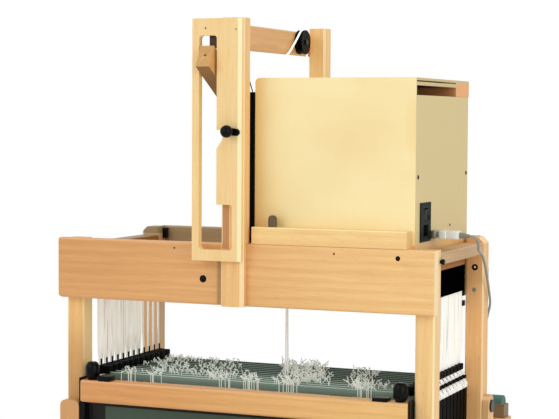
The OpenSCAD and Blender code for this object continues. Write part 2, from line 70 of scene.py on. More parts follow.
def stand(x, y, z):
    return Vector((x / 1000, (y + castle_front) / 1000, z / 1000))


photo_width_px = 559
focal_length_px = 1682.6
sensor_mm = 36
yaw = math.radians(22.55)
pitch = math.radians(3.08)
roll = math.radians(0.34)
forward = Vector((-math.sin(yaw) * math.cos(pitch), math.cos(yaw) * math.cos(pitch), -math.sin(pitch)))
right = forward.cross(Vector((0, 0, 1))).normalized()
above = right.cross(forward)
right, above = (right * math.cos(roll) + above * math.sin(roll),
                above * math.cos(roll) - right * math.sin(roll))
camera = bpy.data.objects.new("camera", bpy.data.cameras.new("camera"))
camera.data.lens = sensor_mm * focal_length_px / photo_width_px
camera.data.sensor_width = sensor_mm
camera.data.sensor_fit = "HORIZONTAL"
camera.data.clip_end = 100
camera.matrix_world = Matrix((right, above, -forward)).transposed().to_4x4()
camera.location = castle(1527.24, -3435.66, 280.07)
scene.collection.objects.link(camera)
scene.camera = camera
scene.view_settings.view_transform = "Standard"


# Data cable: 6 mm of soft grey vinyl from the plug in the box's side, over the castle's end and down
# behind the right rear post, with the length that the photograph doesn't show wound in a coil on the
# floor. Its route is the source's own, and its far plug lies beside the coil.
def paint(r, g, b):
    """A colour read off the photograph, 0 to 255, as the shader wants it."""
    parts = [c / 255 for c in (r, g, b)]
    return [c / 12.92 if c < 0.04045 else ((c + 0.055) / 1.055) ** 2.4 for c in parts] + [1.0]


def shade(colour, red, green=None, blue=None):
    """A colour with its parts made weaker or stronger, all three by the first factor if it stands alone."""
    factors = (red, green or red, blue or red)
    return [min(1.0, part * factor) for part, factor in zip(colour, factors)] + [1.0]


class Socket:
    """One output of a shader node. Arithmetic on it adds Math nodes to the same tree."""

    def __init__(self, finish, output):
        self.finish = finish
        self.output = output

    def math(self, operation, *values):
        return self.finish.node("ShaderNodeMath", {"operation": operation}, dict(enumerate(values)))

    def __add__(self, other):
        return self.math("ADD", self, other)

    def __radd__(self, other):
        return self.math("ADD", other, self)

    def __sub__(self, other):
        return self.math("SUBTRACT", self, other)

    def __rsub__(self, other):
        return self.math("SUBTRACT", other, self)

    def __mul__(self, other):
        return self.math("MULTIPLY", self, other)

    def __rmul__(self, other):
        return self.math("MULTIPLY", other, self)

    def __gt__(self, other):
        return self.math("GREATER_THAN", self, other)

    def __lt__(self, other):
        return self.math("LESS_THAN", self, other)

    def __abs__(self):
        return self.math("ABSOLUTE", self)

    def between(self, low, high, start=0.0, end=1.0):
        inputs = dict(enumerate((self, low, high, start, end)))
        return self.finish.node("ShaderNodeMapRange", {"interpolation_type": "SMOOTHSTEP"}, inputs)


class Nodes:
    """A node tree. An input is given a value, or a Socket of the same tree."""

    def __init__(self, tree):
        self.tree = tree

    def node(self, kind, settings, inputs, output=0):
        made = self.tree.nodes.new(kind)
        for key, value in settings.items():
            setattr(made, key, value)
        for key, value in inputs.items():
            self.feed(made.inputs[key], value)
        return Socket(self, made.outputs[output])

    def feed(self, socket, value):
        if isinstance(value, Socket):
            self.tree.links.new(value.output, socket)
        else:
            socket.default_value = value


class Finish(Nodes):
    """A material: its shader's fixed values, then the nodes that vary it over the surface."""

    def __init__(self, name, **fixed):
        self.material = bpy.data.materials.new(name)
        self.material.use_nodes = True
        super().__init__(self.material.node_tree)
        self.shader = self.tree.nodes["Principled BSDF"]
        for key, value in fixed.items():
            self.shader.inputs[key.replace("_", " ")].default_value = value

    def varies(self, name, value):
        self.feed(self.shader.inputs[name], value)

    def place(self, stretch=(1, 1, 1), turn=(0, 0, 0), shift=(0, 0, 0)):
        """Where a point lies on the object, with the pattern stretched, turned and shifted."""
        there = self.node("ShaderNodeTexCoord", {}, {}, "Object")
        return self.node("ShaderNodeMapping", {}, {"Vector": there, "Location": shift, "Rotation": turn,
                                                   "Scale": stretch})

    def axis(self, which, coordinate="Object"):
        there = self.node("ShaderNodeTexCoord", {}, {}, coordinate)
        return self.node("ShaderNodeSeparateXYZ", {}, {0: there}, which)

    def noise(self, place, scale, detail=2.0, roughness=0.5):
        return self.node("ShaderNodeTexNoise", {}, {"Vector": place, "Scale": scale, "Detail": detail,
                                                    "Roughness": roughness}, "Fac")

    def bands(self, axis, scale):
        """Even light and dark bands across one axis."""
        settings = {"wave_type": "BANDS", "bands_direction": axis}
        return self.node("ShaderNodeTexWave", settings, {"Vector": self.place(), "Scale": scale,
                                                         "Distortion": 0.0}, "Fac")

    def mix(self, amount, first, second):
        return self.node("ShaderNodeMix", {"data_type": "RGBA"}, {0: amount, 6: first, 7: second}, 2)

    def coloured(self, pattern, first, second, dull, rougher):
        """From one colour to another, and from dull roughness up by rougher, as the pattern goes to 1."""
        self.varies("Base Color", self.mix(pattern, first, second))
        self.varies("Roughness", pattern * rougher + dull)

    def relief(self, height, depth, strength=1.0):
        """Raises the surface by height, from 0 to 1, times depth in metres."""
        self.varies("Normal", self.node("ShaderNodeBump", {}, {"Height": height, "Distance": depth,
                                                              "Strength": strength}, "Normal"))


def moulded(name, colour, roughness=0.42, grain=900.0, gloss=0.35):
    """Moulded plastic: an even colour with a faint orange-peel and rubbed patches."""
    finish = Finish(name, Specular_IOR_Level=gloss)
    dust = finish.noise(finish.place(), 35, 4, 0.6)
    rubbed = [min(1.0, part * 1.25 + 0.004) for part in colour[:3]] + [1.0]
    finish.varies("Base Color", finish.mix(dust.between(0.45, 0.8, 0, 0.35), colour, rubbed))
    finish.varies("Roughness", dust * 0.2 + (roughness - 0.1))
    finish.relief(finish.noise(finish.place(), grain, 2), 0.00006, 0.6)
    return finish.material


def as_piece(mesh, name, finish, body, crease=35):
    """A finished bmesh as an object, smooth except over sharp edges. It rides on a body, if one is given."""
    data = bpy.data.meshes.new(name)
    mesh.to_mesh(data)
    mesh.free()
    data.materials.append(finish)
    data.polygons.foreach_set("use_smooth", [True] * len(data.polygons))
    data.set_sharp_from_angle(angle=math.radians(crease))
    piece = bpy.data.objects.new(name, data)
    scene.collection.objects.link(piece)
    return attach(piece, body) if body else piece


def fuse(mesh, part):
    """Adds a part to the mesh that it belongs to."""
    data = bpy.data.meshes.new("part")
    part.to_mesh(data)
    part.free()
    mesh.from_mesh(data)
    bpy.data.meshes.remove(data)


def slab(mesh, low, high, ease=0.0008, segments=2):
    """A block between two corners, its edges eased."""
    part = bmesh.new()
    low, high = Vector(low), Vector(high)
    stretch = Matrix.Diagonal((*(high - low), 1))
    bmesh.ops.create_cube(part, size=1, matrix=Matrix.Translation((low + high) / 2) @ stretch)
    bmesh.ops.bevel(part, geom=part.edges, offset=ease, segments=segments, affect="EDGES", profile=0.5,
                    material=-1)
    fuse(mesh, part)


def turned(mesh, profile, foot, axis=(0, 0, 1), steps=32):
    """A round piece: its profile, pairs of radius and height, spun about the axis that rises from foot."""
    part = bmesh.new()
    points = [part.verts.new((radius, 0, height)) for radius, height in profile]
    lines = [part.edges.new(pair) for pair in zip(points, points[1:])]
    bmesh.ops.spin(part, geom=points + lines, cent=(0, 0, 0), axis=(0, 0, 1), dvec=(0, 0, 0),
                   angle=math.tau, steps=steps, use_merge=True)
    bmesh.ops.remove_doubles(part, verts=part.verts, dist=1e-6)
    bmesh.ops.recalc_face_normals(part, faces=part.faces)
    lean = Vector((0, 0, 1)).rotation_difference(Vector(axis)).to_matrix().to_4x4()
    part.transform(Matrix.Translation(foot) @ lean)
    fuse(mesh, part)


def smooth_line(points, per):
    """Points along a smooth curve through the given ones, as the source lays its cable."""
    line = []
    for i in range(len(points) - 1):
        a, b = points[max(i - 1, 0)], points[i]
        c, d = points[i + 1], points[min(i + 2, len(points) - 1)]
        for t in (k / per for k in range(per)):
            line.append(0.5 * (2 * b + (c - a) * t + (2 * a - 5 * b + 4 * c - d) * t ** 2
                               + (3 * b - a - 3 * c + d) * t ** 3))
    return line + [points[-1]]


def laid(name, lines, radius, sides):
    """Round cords along the given lines, as one curve object."""
    curve = bpy.data.curves.new(name, "CURVE")
    curve.dimensions = "3D"
    curve.bevel_depth = radius
    curve.bevel_resolution = sides
    curve.use_fill_caps = True
    for line in lines:
        run = curve.splines.new("POLY")
        run.points.add(len(line) - 1)
        for knot, point in zip(run.points, line):
            knot.co = (*point, 1)
    holder = bpy.data.objects.new(name, curve)
    scene.collection.objects.link(holder)
    return holder


cable_diameter = 0.006
on_floor = -1246.5
cable_route = [(489, 168, 21.5), (496, 168, 21.5), (502.5, 170.5, 17.5), (505, 177, 9), (503.5, 188, 0),
               (499, 204, -7.5), (491.5, 232, -14), (484, 268, -20), (477.5, 312, -31), (471, 357, -54),
               (465.5, 398, -88), (461, 436, -131), (456, 462, -160), (444, 478, -197), (426, 493, -270),
               (403, 510, -400), (378, 530, -600), (364, 545, -800), (357, 552, -1000), (353, 556, -1120),
               (348, 563, -1185), (338, 577, -1226), (318, 591, -1243), (300, 596, on_floor),
               (290, 596, on_floor)]
coil_pitch = 6.8
coil_turns = 3
coil_radius = 36
coil_steps = 36
coil_inside = coil_radius - coil_pitch * coil_turns / 2
coil_outside = coil_radius + coil_pitch * coil_turns / 2
coil_middle = (280, 596 + coil_outside)
coil_end = coil_middle[1] + coil_outside
cable_line = smooth_line([castle(*point) for point in cable_route], 4)
cable_line.append(castle(284, 596, on_floor))
# The coil runs inwards on the floor, climbs on to itself in half a turn, and runs outwards again
for i in range(int(coil_steps * (2 * coil_turns + 0.5)) + 1):
    turn = i / coil_steps
    past = turn - coil_turns
    if past < 0:
        reach = coil_inside - coil_pitch * past
    elif past < 0.5:
        reach = coil_inside - coil_pitch * (past - 2 * past ** 2)
    else:
        reach = coil_inside + coil_pitch * (past - 0.5)
    climb = min(max(past / 0.5, 0), 1)
    angle = math.radians(-90 - 360 * turn)
    cable_line.append(castle(coil_middle[0] + reach * math.cos(angle),
                             coil_middle[1] + reach * math.sin(angle),
                             on_floor + coil_pitch * (3 * climb ** 2 - 2 * climb ** 3)))
for x in (19, 38):
    cable_line.append(castle(coil_middle[0] + x, coil_end, on_floor + coil_pitch))
data_cable = laid("data_cable_run", [cable_line], cable_diameter / 2, 2)
data_cable.data.materials.append(moulded("vinyl_cable", paint(150, 156, 142), 0.5, 500))
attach(data_cable, "frame")
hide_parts("data_cable", "cable_coil")
cable_length = sum((b - a).length for a, b in zip(cable_line, cable_line[1:]))

# Plugs of the data cable: moulded in pale plastic, with a pressed metal collar, two thumb-screws and
# a ribbed relief that the cable leaves through. One is pushed into the box, the other lies free.
plug_plastic = moulded("plug_plastic", paint(238, 240, 228), 0.38)
relief_plastic = moulded("relief_plastic", paint(140, 146, 134), 0.5)
pressed_steel = Finish("pressed_steel", Metallic=0.85, Roughness=0.32)
pressed_steel.varies("Base Color", pressed_steel.mix(pressed_steel.noise(pressed_steel.place(), 60, 4),
                                                     paint(196, 200, 186), paint(150, 156, 146)))
# The box's right side, from the loom's middle
box_side = 401.9
loose_root = castle(coil_middle[0] + 95, coil_end, on_floor + coil_pitch)
for name, node, root, out in (("box_plug", "connector", castle(box_side, 168, 25), 1),
                              ("loose_plug", "cable_plug", loose_root, -1)):
    # The loose plug lies a little lower, with its flat side on the floor
    drop = 0 if out > 0 else -0.0003
    hood = bmesh.new()
    slab(hood, (0.020, -0.0205, -0.0095 + drop), (0.037, 0.0205, 0.0085 + drop), 0.0025, 3)
    slab(hood, (0.0365, -0.0175, -0.0085 + drop), (0.0635, 0.0175, 0.0075 + drop), 0.003, 3)
    for z in (-0.0090, 0.0080):
        slab(hood, (0.039, -0.012, z + drop - 0.0006), (0.060, 0.012, z + drop + 0.0006), 0.0004)
    collar = bmesh.new()
    slab(collar, (0.0005, -0.0155, -0.0095 + drop), (0.0125, 0.0165, 0.0085 + drop), 0.001)
    slab(collar, (0.0125, -0.0125, -0.0065 + drop), (0.0205, 0.0125, 0.0055 + drop), 0.0006)
    for y in (-0.0145, 0.0145):
        turned(collar, [(0, 0), (0.0028, 0.0004), (0.0028, 0.008), (0, 0.0084)],
               Vector((0.0125, y, drop)), (1, 0, 0), 16)
    relief = bmesh.new()
    ribs = [(0, 0)]
    for rib in range(6):
        x = 0.0003 + rib * 0.0036
        radius = 0.0070 - rib * 0.0005
        groove = radius - 0.0013
        ribs += [(radius, x), (radius, x + 0.0022), (groove, x + 0.0024), (groove, x + 0.0034)]
    turned(relief, ribs + [(0.0042, 0.0220), (0, 0.0222)], Vector((0.0636, 0, -0.0012)), (1, 0, -0.06), 24)
    for kind, part, finish in (("hood", hood, plug_plastic), ("collar", collar, pressed_steel.material),
                               ("relief", relief, relief_plastic)):
        part.transform(Matrix.Translation(root) @ Matrix.Diagonal((out, 1, 1, 1)))
        if out < 0:
            bmesh.ops.reverse_faces(part, faces=part.faces)
        piece = as_piece(part, name + "_" + kind, finish, "frame")
        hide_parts(node)


# Castle beams and rails: planed beech, varnished, their long edges taken off by hand. The grain runs
# along each board, with the fine dark flecks of beech, the taken-off edges are painted paler as a
# highlight, and the end grain shows darker.
def beech(name, along, colour, tilt=(0, 0, 0), figure=1.0, shift=(0.31, 0.17, 0.05), edge_highlight=0.55, far=None):
    """Beech with its grain along one axis and a painted highlight on its edges; far is the far end's colour.
    """
    wood = Finish(name, Coat_Weight=0.12, Coat_Roughness=0.28, Specular_IOR_Level=0.35)
    squeeze = [1.0, 1.0, 1.0]
    squeeze[along] = 0.05
    log = wood.place(squeeze, tilt, shift)
    settings = {"wave_type": "RINGS", "rings_direction": "XYZ"[along]}
    rings = wood.node("ShaderNodeTexWave", settings,
                      {"Vector": log, "Scale": 15, "Distortion": 3.5, "Detail": 3, "Detail Scale": 5,
                       "Detail Roughness": 0.6}, "Fac")
    streaks = wood.noise(log, 210, 5, 0.7)
    cloud = wood.noise(log, 8, 3, 0.5)
    dash = [620.0, 620.0, 620.0]
    dash[along] = 70.0
    flecks = wood.noise(wood.place(dash, tilt), 1.0, 1.0).between(0.68, 0.76)
    tone = (rings - 0.5) * (0.19 * figure) + (streaks - 0.5) * 1.0 + (cloud - 0.5) * (0.9 * figure) + 0.5
    light = shade(colour, 1.10)
    dark = shade(colour, 0.87, 0.80, 0.72)
    surface = wood.mix(tone.between(0.0, 1.0), light, dark)
    if far:
        toward = wood.axis(along).between(-0.45, 0.45)
        change = [there / here for here, there in zip(colour[:3], far[:3])]
        far_surface = wood.mix(tone.between(0.0, 1.0), shade(light, *change), shade(dark, *change))
        surface = wood.mix(toward, surface, far_surface)
    surface = wood.mix(flecks * 0.55, surface, shade(colour, 0.70, 0.56, 0.44))
    # Painted highlight: the eased edges, between the square faces, are mixed towards a pale cream
    faces = [abs(wood.axis(which, "Normal")) for which in range(3)]
    squarest = faces[0].math("MAXIMUM", faces[0], faces[1])
    eased = squarest.math("MAXIMUM", squarest, faces[2]).between(0.80, 0.95, edge_highlight, 0.0)
    surface = wood.mix(eased, surface, shade(colour, 1.20, 1.38, 1.80))
    ends = faces[along].between(0.75, 0.95)
    pores = wood.noise(wood.place((1, 1, 1), tilt), 700, 3, 0.7).between(0.4, 0.65)
    end_grain = wood.mix(pores, shade(colour, 0.90), shade(colour, 0.66, 0.56, 0.46))
    wood.tone = wood.mix(ends * 0.8, surface, end_grain)
    wood.dull = streaks * 0.16 + cloud * 0.12 + 0.32
    wood.varies("Base Color", wood.tone)
    wood.varies("Roughness", wood.dull)
    wood.relief(streaks * 0.7 + flecks * 0.3, 0.0001, 0.4)
    return wood


def inlay(wood, mask, colour, roughness=0.35, metal=0.0):
    """Another colour and roughness where the mask is 1: a fitting, another board, or painted light or shade.
    """
    wood.tone = wood.mix(mask, wood.tone, colour)
    wood.dull = wood.dull * (1 - mask) + mask * roughness
    wood.varies("Base Color", wood.tone)
    wood.varies("Roughness", wood.dull)
    if metal:
        wood.varies("Metallic", mask * metal)
    return wood


def planed(node, finish, ease=0.0014, segments=2, limit=28, suffix="_board"):
    """A CAD board with its edges rounded over, standing for the plain one."""
    mesh = bmesh.new()
    mesh.from_mesh(nodes[node].data)
    bmesh.ops.remove_doubles(mesh, verts=mesh.verts, dist=2e-6)
    bmesh.ops.dissolve_limit(mesh, angle_limit=math.radians(0.5), verts=mesh.verts, edges=mesh.edges)
    piece = as_piece(mesh, node + suffix, finish, body_of[node])
    rounding = piece.modifiers.new("rounding", "BEVEL")
    rounding.width = ease
    rounding.segments = segments
    rounding.limit_method = "ANGLE"
    rounding.angle_limit = math.radians(limit)
    rounding.harden_normals = True
    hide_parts(node)
    return piece


beam_beech = beech("beech_front_beam", 0, paint(225, 167, 108), far=paint(253, 206, 140))
# Painted highlight: the beam's right end face is coloured lighter, as lit from the right
inlay(beam_beech, beam_beech.axis(0, "Normal").between(0.6, 0.9), paint(255, 226, 172), 0.4)
# The front post and the slotted plate throw a soft shade on the beam's face to their left
post_shade_mask = beam_beech.axis(0).between(-0.054, -0.047) * (beam_beech.axis(0) < -0.0415)
post_shade_mask = post_shade_mask * (beam_beech.axis(2) < 1.236) * beam_beech.axis(1, "Normal").between(-0.9, -0.6, 1.0, 0.0)
inlay(beam_beech, post_shade_mask * 0.75, paint(158, 132, 84), 0.5)
planed("castle_front_beam", beam_beech.material)
# Painted shade: the rear beam's beech is coloured darker and greyer, as it lies in the castle's shade
shade_beech = beech("beech_rear_beam_shaded", 0, paint(172, 146, 108), edge_highlight=0.3)
planed("castle_rear_beam", shade_beech.material)
rail_beech = beech("beech_rails", 1, paint(206, 168, 120), edge_highlight=0.4)
planed("castle_rail_right", rail_beech.material)
# Painted shade: the far rail's beech is coloured darker and greyer, as it lies in shade
shaded_far_rail_beech = beech("beech_far_rail_shaded", 1, paint(164, 144, 108), edge_highlight=0.2)
planed("castle_rail_left", shaded_far_rail_beech.material)

# Castle posts: 45 mm square beech, its grain upright, the edges taken off wide. The left front post
# gets darker towards its foot, and its right face is painted lighter, as a painted highlight. The far
# post is painted greyer, as painted shade, and darker still at its top, over the rear beam's edge.
post_beech = beech("beech_left_post", 2, paint(252, 203, 133), shift=(0.05, 0.4, 0.2), edge_highlight=0.9)
inlay(post_beech, post_beech.axis(2).between(0.96, 1.10, 0.5, 0.0), paint(176, 118, 66), 0.4)
inlay(post_beech, post_beech.axis(0, "Normal").between(0.6, 0.9) * 0.8, paint(255, 224, 160), 0.4)
planed("front_post_left", post_beech.material)
right_post_beech = beech("beech_right_post", 2, paint(253, 208, 144), shift=(0.45, 0.4, 0.1), edge_highlight=0.9)
planed("front_post_right", right_post_beech.material)
rear_post_beech = beech("beech_rear_post", 2, paint(246, 192, 128), shift=(0.15, 0.7, 0.2), edge_highlight=0.9)
planed("rear_post_right", rear_post_beech.material)
shaded_far_post_beech = beech("beech_far_post_shaded", 2, paint(218, 180, 132), shift=(0.3, 0.1, 0.6), edge_highlight=0.9)
inlay(shaded_far_post_beech, (shaded_far_post_beech.axis(2) > 1.236) * 0.85, paint(158, 138, 102), 0.4)
planed("rear_post_left", shaded_far_post_beech.material)

# Fasteners of the castle and of the box: black screw covers and screws pressed into the wood, steel
# bolts with a hexagon socket, a black cover ring with its pale middle, a thumb knob on the right rail,
# and small black clamps on the rear posts.
black_plastic = moulded("black_plastic", paint(7, 8, 8), 0.30, gloss=0.14)
brown_steel = moulded("browned_steel", paint(120, 78, 48), 0.4)
dark_steel = Finish("dark_steel", Metallic=0.8)
worn = dark_steel.noise(dark_steel.place(), 80, 5, 0.6)
dark_steel.coloured(worn, paint(92, 98, 92), paint(60, 64, 62), 0.28, 0.3)
zinc = Finish("zinc_plated", Metallic=0.9)
bloom = zinc.noise(zinc.place(), 140, 4, 0.6)
zinc.coloured(bloom, paint(176, 184, 172), paint(128, 140, 130), 0.25, 0.25)
to_front = (0, -1, 0)
to_back = (0, 1, 0)
to_right = (1, 0, 0)
let_in = 0.3

covers = bmesh.new()
domed_cover = [(0, 0.0062), (0.0035, 0.0061), (0.0070, 0.0054), (0.0083, 0.0042), (0.0083, 0.0)]
flat_cover = [(0, 0.006), (0.0038, 0.006), (0.0052, 0.0045), (0.0052, 0.0)]
thin_cover = [(0, 0.0012), (0.003, 0.0010), (0.0042, 0.0)]
turned(covers, domed_cover, castle(-86, 5, -82), to_front)
turned(covers, flat_cover, castle(377, 6, -19), to_front)
for x, z in ((-403, -60), (-403, -100), (403, -60)):
    turned(covers, thin_cover, castle(x, 487.2, z), to_back, 20)
as_piece(covers, "screw_covers", black_plastic, "frame")

screws = bmesh.new()
screw_head = [(0, 0.0006), (0.0016, 0.0005), (0.0026, 0.0001), (0.0026, -0.002)]
for x in (230, -158):
    turned(screws, screw_head, castle(x, 0, -14), to_front, 20)
as_piece(screws, "small_screws", brown_steel, "frame")

side_screws = bmesh.new()
for y, z, radius in ((61, 155, 0.0052), (430, 155, 0.0052), (303, 38, 0.0028)):
    dished_head = [(0, 0.0004), (radius * 0.4, 0.0004), (radius * 0.5, 0.0012), (radius * 0.85, 0.0010),
                   (radius, 0), (radius, -0.003)]
    turned(side_screws, dished_head, castle(box_side - let_in, y, z), to_right, 20)
as_piece(side_screws, "box_side_screws", black_plastic, "frame")

ring = bmesh.new()
cover_place = castle(431, 418, -68)
turned(ring, [(0.0030, 0.0040), (0.0048, 0.0046), (0.0075, 0.0042), (0.0084, 0.003), (0.0084, 0),
              (0.0030, 0)], cover_place, to_front)
as_piece(ring, "rear_post_cover_ring", black_plastic, "frame")
centre = bmesh.new()
turned(centre, [(0, 0.0040), (0.0022, 0.0038), (0.0029, 0.0030), (0.0029, 0)], cover_place, to_front, 24)
as_piece(centre, "rear_post_cover_middle", plug_plastic, "frame")

bolts = bmesh.new()
socket_head = [(0, 0.0020), (0.0024, 0.0020), (0.0024, 0.0046), (0.0048, 0.0046), (0.0060, 0.0036),
               (0.0060, 0)]
low_head = [(0, 0.0022), (0.0024, 0.0022), (0.0024, 0.0036), (0.0052, 0.0036), (0.0064, 0.0024),
            (0.0064, 0)]
turned(bolts, socket_head, castle(430, 418, -122), to_front, 24)
for side in (-1, 1):
    for y in (50, 436):
        turned(bolts, low_head, stand(side * 453, y, 640), (side, 0, 0), 24)
as_piece(bolts, "post_bolts", zinc.material, "frame")

knob = bmesh.new()
turned(knob, [(0, 0.0), (0.0035, 0.0), (0.0035, 0.003), (0.0058, 0.0034), (0.0064, 0.0046), (0.0064, 0.0088),
              (0.0052, 0.0100), (0, 0.0103)], castle(453, 64, -28), to_right, 28)
slab(knob, castle(452.8, 68, -33), castle(457, 76, -24), 0.001)
as_piece(knob, "rail_thumb_knob", black_plastic, "frame")

clamps = bmesh.new()
for z in (-136, -160):
    slab(clamps, castle(404.5, 399, z), castle(409, 412, z + 13), 0.001)
slab(clamps, castle(-408.2, 440, -28), castle(-399, 458.6, -1), 0.0015)
as_piece(clamps, "rear_post_clamps", black_plastic, "frame")

# Cord housings: black channels under the rails, with a strip of wood showing above each. The shafts'
# cords run up into them.
channel = Finish("cord_channel", Specular_IOR_Level=0.0, IOR=1.02)
# The strip's grain is the wood's own; its dark brown is painted shade under the rail
strip = channel.axis(2).between(1.1885, 1.1890)
strip_grain = channel.noise(channel.place((90, 6, 90)), 1.0, 4, 0.6)
shaded_strip_wood = channel.mix(strip_grain, paint(200, 146, 98), paint(128, 84, 50))
channel.varies("Base Color", channel.mix(strip, paint(2, 2, 2), shaded_strip_wood))
channel.varies("Roughness", channel.noise(channel.place(), 60, 3) * 0.3 + 0.35)
for node in ("cord_housing_left", "cord_housing_right"):
    planed(node, channel.material, ease=0.0006, suffix="_channel")

# Shafts: light-metal bars, black end blocks with hooks, and white string heddles in loose bunches.
# Each shaft hangs on flat braided cords that run up into the housings.
bar_metal = Finish("bar_metal", Metallic=0.25, Coat_Weight=0.05)
drawn = bar_metal.noise(bar_metal.place((4, 300, 300)), 1.0, 4, 0.6)
# Painted light: the bars' tops are coloured pale as a highlight, and the shafts further back are coloured
# darker, as painted shade
upward = bar_metal.axis(2, "Normal").between(0.25, 0.75)
rearward = bar_metal.axis(1).between(-0.09, 0.05)
near_side = bar_metal.mix(drawn, paint(140, 164, 152), paint(104, 130, 120))
far_side_shade = bar_metal.mix(drawn, paint(66, 92, 80), paint(42, 64, 54))
far_top_shade = bar_metal.mix(drawn, paint(150, 174, 162), paint(88, 112, 102))
bar_sides = bar_metal.mix(rearward, near_side, far_side_shade)
bar_tops_highlight = bar_metal.mix(rearward, paint(220, 240, 230), far_top_shade)
bar_metal.varies("Base Color", bar_metal.mix(upward, bar_sides, bar_tops_highlight))
bar_metal.varies("Roughness", drawn * 0.25 + 0.30)
bar_metal.relief(drawn, 0.00008, 0.4)
block_black = moulded("end_block_black", paint(4, 6, 6), 0.55, gloss=0.04)

# The heddle strings glow faintly: painted light that keeps them white where they shade each other
string_white = Finish("heddle_string", Sheen_Weight=0.1, Emission_Strength=0.10)
twist = string_white.noise(string_white.place((900, 900, 420)), 1.0, 2)
string_white.coloured(twist, paint(250, 253, 248), paint(218, 226, 217), 0.65, 0.2)
string_white.varies("Emission Color", string_white.mix(twist, paint(242, 248, 242), paint(208, 216, 208)))
string_white.relief(twist, 0.0001, 0.6)

# The cords get a faint glow of their own, painted light that keeps them white where they shade each other
braid_white = Finish("braided_cord", Sheen_Weight=0.1, Emission_Strength=0.16)
weave = braid_white.noise(braid_white.place((700, 700, 400)), 1.0, 2)
# Painted shade: some cords across the curtain are coloured darker, where their neighbours shade them
cord_shade_bands = braid_white.noise(braid_white.place((20, 230, 3)), 1.0, 2, 0.6).between(0.55, 0.63, 0.0, 0.75)
braid = braid_white.mix(weave, paint(255, 254, 249), paint(242, 240, 231))
cord_colour = braid_white.mix(cord_shade_bands, braid, paint(196, 190, 178))
braid_white.varies("Base Color", cord_colour)
braid_white.varies("Emission Color", cord_colour)
braid_white.varies("Roughness", weave * 0.2 + 0.6)
braid_white.relief(weave, 0.0003, 0.6)


def strung(name, lines, radius, finish, body, sides=0):
    """Strings along the given lines, as one mesh."""
    holder = laid(name + "_line", lines, radius, sides)
    mesh = bmesh.new()
    data = bpy.data.meshes.new_from_object(holder)
    mesh.from_mesh(data)
    bpy.data.objects.remove(holder)
    bpy.data.meshes.remove(data)
    return as_piece(mesh, name, finish, body, 60)


def end_block(mesh, side, reach, y, depth, height, ease, segments=2):
    """A block on one end of a shaft: how far out it reaches, from and to, its half depth, and its height."""
    near, far = sorted((side * reach[0], side * reach[1]))
    slab(mesh, castle(near, y - depth, height[0]), castle(far, y + depth, height[1]), ease, segments)


def end_blocks(mesh, side, y):
    """One end of a shaft: a clamp on each bar, the head that the cords hook into, and the side strap."""
    # The left end's head sits lower, under a taller hook
    foot, head = (-312, -297.5) if side > 0 else (-327, -308)
    hook_top = head + (2 if side > 0 else 14)
    end_block(mesh, side, (370, 391), y, 12.5, (-328, -309), 0.0016)
    end_block(mesh, side, (390, 404 + 3 * side), y, 12.8, (foot, head), 0.0016)
    end_block(mesh, side, (394, 416), y, 9, (-331.5, -324.5), 0.0014)
    end_block(mesh, side, (394, 399.5), y, 3.5, (head - 1, hook_top), 0.0014)
    end_block(mesh, side, (384.2, 399.8), y, 5.8, (-563.8, -540), 0.0014)
    end_block(mesh, side, (390.2, 416.5), y, 11, (-541, -351), 0.0006, 1)
    turned(mesh, [(0, 0), (0.0046, 0), (0.0046, 0.0012), (0.0030, 0.0016), (0, 0.0016)],
           castle(side * 384, y - 12.4, -318), to_front, 20)


chance = random.Random(11)
# No cord hangs in front of the housings, and the heddles end before the end blocks
front_cord = 77
heddle_reach = 366


def lifting_cords(side, y, dense):
    """The cords of one shaft's end, up into the housing, and the two rows of loops that tie them to it."""
    cords = []
    spots = [(398, -5), (399, -2), (398, 1)]
    if dense:
        spots = [(399 + (i % 2) * 2 + side * 2, -13.2 + i * 3.3) for i in range(9)]
    for x, dy in spots:
        sway = chance.uniform(-0.6, 0.6)
        foot = dy * (0.9 if side > 0 else 0.62)
        if y + dy < front_cord:
            continue
        cords.append([castle(side * 397, y + foot * 0.8, -312), castle(side * 397, y + foot, -300),
                      castle(side * (x + 397) / 2, y + dy * 0.9 + sway * 0.5, -275),
                      castle(side * x, y + dy + sway, -245), castle(side * x, y + dy, -190),
                      castle(side * x, y + dy, -113)])
    for dy in (-8, -3, 3, 8):
        upper = [(402, dy, -310), (407, dy * 0.9, -315), (410, dy * 1.1, -320), (405, dy, -327)]
        lower = [(402, dy, -330), (412, dy * 0.8, -335), (417.5, dy * 1.2, -343), (417, dy * 1.3, -352),
                 (410, dy * 0.6, -349), (404, dy * 0.4, -333)]
        for loop in (upper, lower):
            cords.append([castle(side * px, y + py, pz) for px, py, pz in loop])
    return cords


def heddle(middle, spread, height, y, top):
    """One string from the lower bar to the upper, through its bunch, and its frayed end over the bar."""
    x = middle + chance.gauss(0, spread)
    fore = chance.choice((-1, 1))
    x = max(-heddle_reach, min(heddle_reach, x))
    string = [castle(middle + chance.gauss(0, 6), y + fore * 3.4, -547),
              castle(x * 0.5 + middle * 0.5, y + fore * 3.6, -480),
              castle(x * 0.4 + middle * 0.6 + chance.gauss(0, 1.5), y + chance.gauss(0, 3), -440),
              castle(x * 0.6 + middle * 0.4, y + fore * 3.8, -390),
              castle(x, y + fore * 3.6, top - 18), castle(x, y + fore * 3.6, top + 1.4)]
    lean = chance.uniform(-1.4, 1.4)
    tall = height * chance.uniform(0.35, 1.0)
    out = chance.gauss(0, 0.35)
    tip = Vector((math.sin(lean) * tall, out * 6, max(0.3, math.cos(lean)) * tall)) / 1000
    bend = Vector((chance.gauss(0, 2.5), 0, chance.gauss(0, 1.5))) / 1000
    root = castle(x, y + fore * 3.0, top + 1.4)
    pieces = [string, [root, root + tip * 0.5 + bend, root + tip]]
    if chance.random() < 0.4:
        fork = root + tip * 0.5 + bend
        pieces.append([fork, root + tip * 0.6 + Vector((-tip.z, 0, abs(tip.x))) * 0.5])
    return pieces


